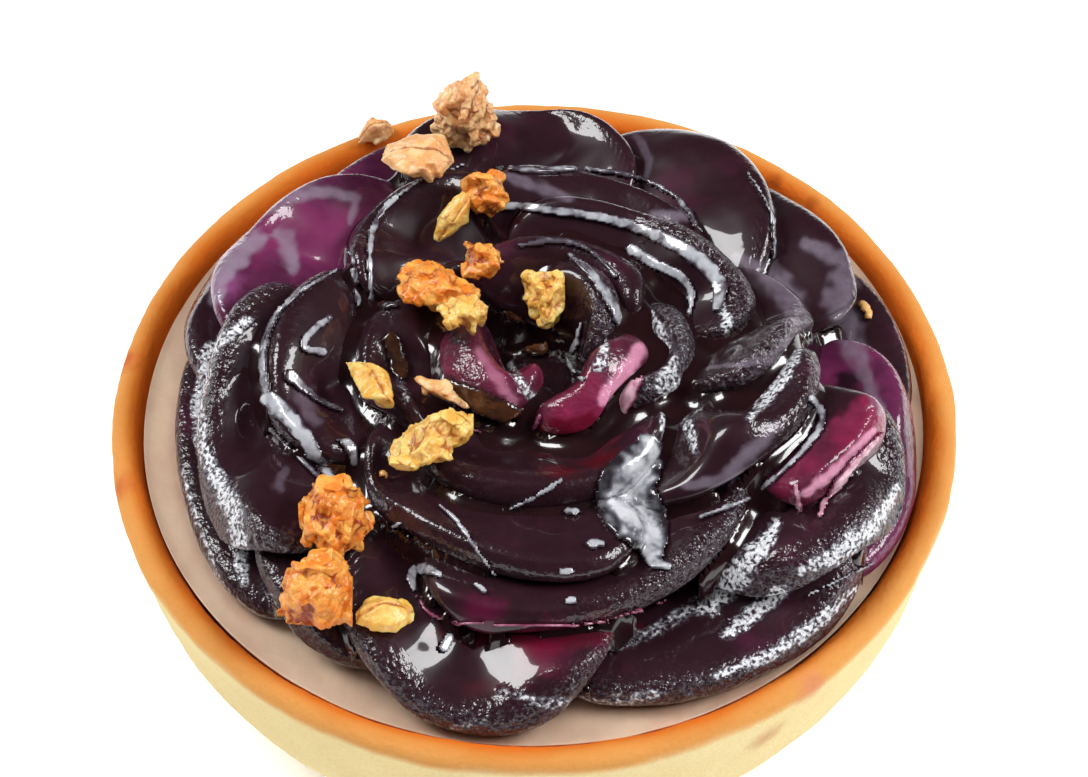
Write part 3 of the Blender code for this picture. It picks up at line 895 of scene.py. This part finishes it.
# Painted highlights: pale lilac patches on the violet slices at the back left.
violet_highlight_spots = (
    ((-33.0, 10.0, 33.9), 3.4, (150, 84, 134), 0.6), ((-25.0, 24.0, 34.6), 3.0, (132, 104, 126), 0.5),
)
wine_spots = (
    ((-5.4, 2.6, 34.8), 3.4, (48, 14, 36), 0.85), ((-6.0, -3.0, 32.8), 2.4, (62, 14, 26), 0.7),
    ((5.8, -9.2, 31.3), 2.4, (92, 8, 22), 0.8), ((37.7, -9.6, 32.9), 2.6, (66, 12, 34), 0.8),
    ((24.6, -22.4, 35.0), 2.2, (120, 10, 50), 0.7),
)
plum = pear_material("poached_plum", (34, 17, 21), (70, 26, 46), 0.46, (78, 42, 60), plum_spots)
violet = pear_material("poached_violet", (58, 14, 40), (112, 34, 78), 0.6, (140, 76, 118), violet_highlight_spots)
wine = pear_material("poached_wine", (56, 8, 30), (128, 22, 64), 0.52, (170, 80, 110), wine_spots)
violet_names = ("pear_rim_right_low", "pear_rim_back_left", "pear_rim_left_high")
wine_names = ("pear_rim_wedge", "pear_bud_front", "pear_bud_left")
faces = 0
slices = merged_copies(slice_names, "pear_", "slice_")
edit(*slices, select="DESELECT")
bpy.ops.mesh.edges_select_sharp(sharpness=math.radians(42))
bpy.ops.transform.edge_crease(value=0.22)
leave_edit()
subdivide_surfaces(slices, SLICE_LEVELS)
for name, piece in zip(slice_names, slices):
    dress_slice(piece, name)
    kind = "violet" if name in violet_names else "wine" if name in wine_names else "plum"
    piece.data.materials.append({"plum": plum, "violet": violet, "wine": wine}[kind])
    finish_piece(piece, f"pear_{kind}", name)
    faces += len(piece.data.polygons)
print(f"{len(slice_names)} slices, {faces} faces")

# %% [markdown]
# ## The glaze between the slices
#
# Syrup runs off the slices and sets as dark jelly in every gap of the rose. To find its level, we
# look straight down on the rose at each point of a grid, close the narrow gaps by taking the
# highest neighbour and then the lowest of those, and let the jelly stand a little below that.
# What would lie on open filling is cut away.

# %% Let the glaze settle
GRID_STEP = 0.5 * MM
GRID_CELLS = 188
CLOSE_CELLS = 4
GLAZE_DROP = 1.3 * MM
GLAZE_THICK = 0.8 * MM
SHALLOW = 3.2 * MM  # glaze nearer the filling than this would lie in the open
IDLE = 0.6 * MM  # and where it fills less than this it isn't needed
BESIDE_EDGE = 0.017 * MM  # a ray that runs exactly along an edge can slip through


def neighbours(cells):
    reach = range(-cells, cells + 1)
    return [(i, j) for i in reach for j in reach if i * i + j * j <= cells * cells]


def filtered(heights, offsets, choose):
    return choose([np.roll(heights, offset, axis=(0, 1)) for offset in offsets], axis=0)


def looking_down(tree, x, y):
    hit = tree.ray_cast(Vector((x + BESIDE_EDGE, y + BESIDE_EDGE, 0.1)), Vector((0.0, 0.0, -1.0)))[0]
    return hit.z if hit else filling_height


side = GRID_STEP * GRID_CELLS
bpy.ops.mesh.primitive_grid_add(x_subdivisions=GRID_CELLS, y_subdivisions=GRID_CELLS, size=side)
glaze = bpy.context.object
glaze.name = "glaze_between_slices"
points = points_of(glaze.data)
heights = np.array([looking_down(rose_tree, x, y) for x, y, _ in points])
heights = heights.reshape(GRID_CELLS + 1, GRID_CELLS + 1)
disc = neighbours(CLOSE_CELLS)
closed = filtered(filtered(heights, disc, np.max), disc, np.min)
points[:, 2] = filtered(closed, neighbours(2), np.mean).reshape(-1) - GLAZE_DROP
move_points(glaze.data, points)
shallow = closed < filling_height + SHALLOW
idle = filtered(closed - heights, neighbours(2), np.max) < IDLE
delete_points(glaze, (shallow | idle).reshape(-1))
apply_modifier(glaze, "SOLIDIFY", thickness=GLAZE_THICK, offset=-1.0)
syrup_dark, tree, shader = new_material(
    "dark_jelly", Roughness=0.2, Coat_Weight=1.0, Coat_Roughness=0.04, Specular_IOR_Level=0.4)
place = place_of(tree)
connect(tree, shader.inputs["Base Color"],
        mix(tree, grain(tree, place, 4 * MM, 2.0), srgb(18, 10, 12), srgb(44, 20, 24)))
bend_skin(tree, shader, raise_bump(tree, grain(tree, place, 3.5 * MM, 1.0), 0.15 * MM))
glaze.data.materials.append(syrup_dark)
finish_piece(glaze, "pear_plum")
print(f"glaze: {len(glaze.data.polygons)} faces")

# %% [markdown]
# ## Syrup on the crests, with painted highlights
#
# Syrup has run along the crests and dripped down the faces. The runs are drawn in the picture
# too, but these are real sheets: every grid point near a run is sent along the camera's ray until
# it meets the fruit, and stays there. Their pale grey, white and pink is painted highlight and
# painted reflection, where the wet crests catch the light.

# %% Draw the runs
SYRUP_HIGHLIGHT_RUNS = (  # strength of the painted highlight, then (x, y, half width) along the run
    (0.75, ((336, 271, 2), (292, 296, 3), (267, 333, 4), (263, 374, 5), (275, 412, 6))),
    (1.0, ((270, 398, 9), (290, 418, 9), (312, 446, 8), (330, 480, 6))),
    (0.8, ((268, 424, 4), (292, 450, 4), (320, 482, 3))),
    (0.9, ((329, 319, 4), (311, 330, 5), (298, 350, 4), (322, 352, 5))),
    (0.6, ((290, 376, 8), (314, 400, 4), (342, 412, 3))),
    (0.8, ((464, 164, 2), (417, 181, 2), (383, 208, 4), (370, 235, 4), (368, 272, 3), (373, 306, 3))),
    (0.95, ((350, 255, 5), (355, 280, 6), (357, 306, 3))),
    (0.7, ((378, 306, 3), (396, 306, 4))),
    (0.7, ((338, 441, 3), (351, 447, 8), (353, 462, 4))),
    (0.6, ((498, 168, 3), (540, 173, 4), (591, 168, 3), (642, 178, 3), (676, 195, 3), (690, 216, 4),
           (697, 232, 3))),
    (0.85, ((505, 206, 5), (540, 209, 5), (591, 215, 5), (635, 226, 6), (675, 243, 8), (706, 264, 9),
            (722, 286, 9), (718, 308, 6))),
    (1.0, ((631, 249, 6), (652, 262, 6), (682, 275, 6), (694, 292, 4), (690, 314, 3))),
    (0.9, ((810, 398, 4), (827, 418, 5), (812, 444, 4), (777, 478, 3), (743, 502, 3), (702, 518, 3))),
    (0.8, ((748, 174, 2), (763, 195, 2), (773, 218, 3), (772, 259, 2))),
    (0.9, ((440, 505, 2), (458, 523, 3), (478, 550, 3), (495, 574, 2))),
    (0.9, ((560, 481, 3), (532, 499, 3), (502, 511, 2))),
    (1.0, ((413, 590, 4), (410, 574, 6), (422, 567, 7), (440, 576, 4))),
    (0.8, ((386, 529, 4), (404, 522, 2))),
    (0.7, ((570, 256, 3), (594, 277, 6), (612, 305, 7), (621, 333, 4))),
    (0.5, ((520, 246, 3), (552, 240, 4), (590, 248, 3), (616, 276, 3))),
    (1.0, ((581, 322, 2), (578, 346, 4), (564, 364, 4), (584, 380, 3))),
    (0.8, ((871, 563, 2), (838, 580, 2), (804, 597, 2))),
    (0.9, ((449, 638, 5), (443, 648, 6))),
    (1.0, ((569, 513, 5), (575, 513, 5))), (1.0, ((562, 571, 4), (570, 570, 4))),
    (1.0, ((592, 545, 6), (602, 545, 4))), (1.0, ((568, 602, 4), (572, 601, 5))),
    (1.0, ((500, 424, 4), (504, 424, 4))), (0.9, ((477, 585, 3), (484, 592, 3))),
)
# A thick drop of syrup, painted pale where it mirrors a soft box: a painted reflection.
REFLECTION_DROP_RUNS = (
    (0.8, ((648, 448, 14), (638, 470, 24), (624, 492, 32), (636, 516, 32), (656, 545, 14), (650, 564, 7),
           (668, 568, 4))),
)
BROWN_RUNS = (
    (0.75, ((508, 318, 10), (520, 334, 16), (538, 348, 12))),
    (0.45, ((452, 386, 8), (486, 404, 12), (520, 418, 9))),
    (0.35, ((392, 340, 8), (400, 372, 10))),
)
CRUMB_RUNS = (
    (1.0, ((862, 305, 3), (866, 311, 4), (868, 318, 3))), (1.0, ((497, 258, 3), (500, 261, 3))),
    (1.0, ((382, 476, 3), (385, 478, 3))), (1.0, ((352, 534, 3), (355, 537, 2))),
)
# Pink painted highlights along the crests and on the bright slices.
PINK_HIGHLIGHT_RUNS = (
    (0.5, ((417, 597, 2), (430, 619, 3), (474, 624, 2), (540, 626, 2), (591, 624, 2), (630, 612, 2),
           (668, 600, 2))),
    (0.85, ((642, 372, 5), (628, 398, 10), (608, 422, 9), (588, 434, 5))),
    (0.8, ((881, 434, 3), (852, 462, 6), (826, 498, 5), (820, 516, 3))),
    (0.6, ((796, 484, 3), (800, 510, 4))),
    (0.45, ((430, 402, 3), (468, 431, 2), (505, 436, 2), (536, 430, 3), (540, 416, 3))),
)

print(f"{len(SYRUP_HIGHLIGHT_RUNS) + len(PINK_HIGHLIGHT_RUNS) + len(BROWN_RUNS) + len(REFLECTION_DROP_RUNS)} runs, {len(CRUMB_RUNS)} crumbs")

# %% [markdown]
# A run becomes a sheet. We lay a flat grid over the rose, as fine as two picture pixels, keep the
# part that lies near a path, and drop every point on the dressed slices. Where one slice ends and
# the next lies deeper, a few passes pull the sheet taut, as syrup bridges a small step, and what
# is still stretched is cut out. Thickness comes from how far inside its path a point lies.

# %% Lay the syrup
CELL_PIXELS = 2
PIXELS_LOW, PIXELS_HIGH = (150, 130), (930, 750)
STRETCHED = 1.5 * MM
SHEET_THICK = 0.35 * MM
SUNK = 0.03 * MM
ROUND_PIXELS = 6.0  # a sheet rises to its full height over so much of its edge


def pixel_ray(x, y):
    """From the camera through a pixel of a picture as wide as IMAGE_WIDTH."""
    return (right * (x - MIDDLE_X) / FOCAL_PIXELS + up * (MIDDLE_Y - y) / FOCAL_PIXELS - back).normalized()


def rounded(path):
    """A run with its corners cut twice, so that it flows."""
    path = np.array(path, float)
    for _ in range(2):
        near = 0.75 * path[:-1] + 0.25 * path[1:]
        far = 0.25 * path[:-1] + 0.75 * path[1:]
        cut = np.stack([near, far], axis=1).reshape(-1, 3)
        path = np.concatenate([path[:1], cut[1:-1], path[-1:]])
    return path


def taut(distance, passes):
    """Brings each point as near the camera as its neighbours are on average, pass by pass."""
    for _ in range(passes):
        around = [np.roll(distance, (i, j), axis=(0, 1)) for i in (-1, 0, 1) for j in (-1, 0, 1)]
        known = np.sum(np.isfinite(around), axis=0)
        mean = np.nansum(around, axis=0) / np.maximum(known, 1)
        distance = np.where(np.isfinite(distance), np.minimum(distance, mean), np.nan)
    return distance


def dressed_tree(objects):
    points = np.concatenate([points_of(obj.data) for obj in objects])
    faces, start = [], 0
    for obj in objects:
        corners = np.empty(len(obj.data.loops), np.int32)
        obj.data.loops.foreach_get("vertex_index", corners)
        faces += (corners.reshape(-1, 4) + start).tolist()
        start += len(obj.data.vertices)
    return BVHTree.FromPolygons(points.tolist(), faces)


def lay_sheet(name, slot, tree, runs, rise, rough, passes, material):
    """One object for all runs of a kind; rise and rough are in metres."""
    columns, rows = [(high - low) // CELL_PIXELS for low, high in zip(PIXELS_LOW, PIXELS_HIGH)]
    bpy.ops.mesh.primitive_grid_add(x_subdivisions=columns, y_subdivisions=rows, size=2.0)
    sheet = bpy.context.object
    sheet.name = name
    flat = points_of(sheet.data)
    x = PIXELS_LOW[0] + (flat[:, 0] + 1) / 2 * (PIXELS_HIGH[0] - PIXELS_LOW[0])
    y = PIXELS_LOW[1] + (1 - flat[:, 1]) / 2 * (PIXELS_HIGH[1] - PIXELS_LOW[1])
    wander = np.array([noise.noise(Vector((a / 9, b / 9, 0.0))) for a, b in zip(x, y)])
    depth, share_in, strength = inside_runs(x, y, [(milky, rounded(path)) for milky, path in runs])
    depth = depth + np.minimum(4.0, 0.5 * np.maximum(depth, 2.5)) * wander
    placed, facing = np.zeros_like(flat), np.zeros_like(flat)
    distance = np.full(len(flat), np.nan)
    eye = camera.matrix_world.translation
    for i in np.flatnonzero(depth > 0):
        placed[i] = pixel_ray(x[i], y[i])
        hit, normal, _, away = tree.ray_cast(eye, Vector(placed[i]))
        if hit is not None:
            distance[i] = away
            facing[i] = (0.7 * normal + 0.3 * back).normalized()
    distance = taut(distance.reshape(rows + 1, columns + 1), passes).reshape(-1)
    lost = ~np.isfinite(distance)
    placed = np.array(eye) + placed * np.where(lost, 0.0, distance)[:, None]
    inside = np.clip(depth / ROUND_PIXELS, 0.0, 1.0)
    height = rise * np.sqrt(inside * (2.0 - inside)) - SUNK
    if rough:
        height[~lost] += rough * noise_at(placed[~lost], 0.5 * MM) * inside[~lost]
    move_points(sheet.data, placed + facing * height[:, None])
    write_attribute(sheet.data, "milky", strength * smoothstep(0.0, 0.55, share_in + 0.35 * wander))
    delete_points(sheet, lost)
    for edge in sheet.data.edges:
        a, b = (sheet.data.vertices[i].co for i in edge.vertices)
        edge.select = (a - b).length > STRETCHED
    bpy.ops.object.mode_set(mode="EDIT")
    bpy.ops.mesh.select_mode(type="EDGE")
    bpy.ops.mesh.delete(type="EDGE")
    bpy.ops.mesh.select_mode(type="VERT")
    bpy.ops.mesh.select_all(action="SELECT")
    bpy.ops.mesh.flip_normals()
    leave_edit()
    apply_modifier(sheet, "SOLIDIFY", thickness=SHEET_THICK, offset=-1.0)
    sheet.data.materials.append(material)
    finish_piece(sheet, slot)
    print(f"{name}: {len(sheet.data.polygons)} faces")


def film_material(name, dark, mid, light):
    """A streaky film, lighter where its mark is strong. On the syrup sheets the pale end is painted highlight
    and painted reflection.
    """
    material, tree, shader = new_material(
        name, Roughness=0.25, Specular_IOR_Level=0.4, Coat_Weight=1.0, Coat_Roughness=0.08)
    place = place_of(tree)
    swirl = sum_up(tree, "SUBTRACT", grain(tree, place, 1.9 * MM, 2.5, 0.6), 0.5)
    tone = plus(tree, times(tree, swirl, 2.4), 1.0)
    tone = times(tree, attribute(tree, "milky"), tone)
    # On the syrup sheets the pale end of this ramp is painted highlight and painted reflection.
    stops = ((0.0, srgb(*dark)), (0.45, srgb(*mid)), (1.0, srgb(*light)))
    connect(tree, shader.inputs["Base Color"], ramp(tree, step(tree, tone, 0.0, 1.1), stops))
    bend_skin(tree, shader, raise_bump(tree, grain(tree, place, 2.0 * MM, 2.0), 0.12 * MM))
    return material


films = dressed_tree(slices)
sheets = (  # name, slot, runs, rise and roughness in mm, passes, then dark, middle and light
    ("brown_jelly", "granola", BROWN_RUNS, 0.35, 0.05, 6, (34, 20, 18), (74, 42, 24), (122, 78, 44)),
    ("crumbs", "granola", CRUMB_RUNS, 0.55, 0.2, 2, (150, 84, 34), (222, 146, 70), (240, 186, 112)),
    ("syrup_highlight_runs", "pear_plum", SYRUP_HIGHLIGHT_RUNS, 0.14, 0.0, 4, (38, 21, 28), (84, 77, 87), (182, 184, 191)),
    ("syrup_drop_reflection", "pear_plum", REFLECTION_DROP_RUNS, 0.24, 0.0, 40, (36, 30, 36), (118, 118, 126), (206, 208, 213)),
    ("syrup_pink_highlight", "pear_wine", PINK_HIGHLIGHT_RUNS, 0.07, 0.0, 3, (74, 18, 42), (156, 84, 112), (232, 190, 204)),
)
for name, slot, runs, rise, rough, passes, *tones in sheets:
    lay_sheet(name, slot, films, runs, rise * MM, rough * MM, passes, film_material(f"{name}_skin", *tones))

# %% [markdown]
# ## Print the size and finish
#
# The dressed tart should be as large as the plain one, to a fraction of a millimetre. Both boxes
# are printed.

# %% Print both boxes and finish
boxes_found = {"cad": cad_box, "visual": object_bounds()}
for name, (low, high) in boxes_found.items():
    print(name, [round(value / MM, 2) for value in (*low, *high)])
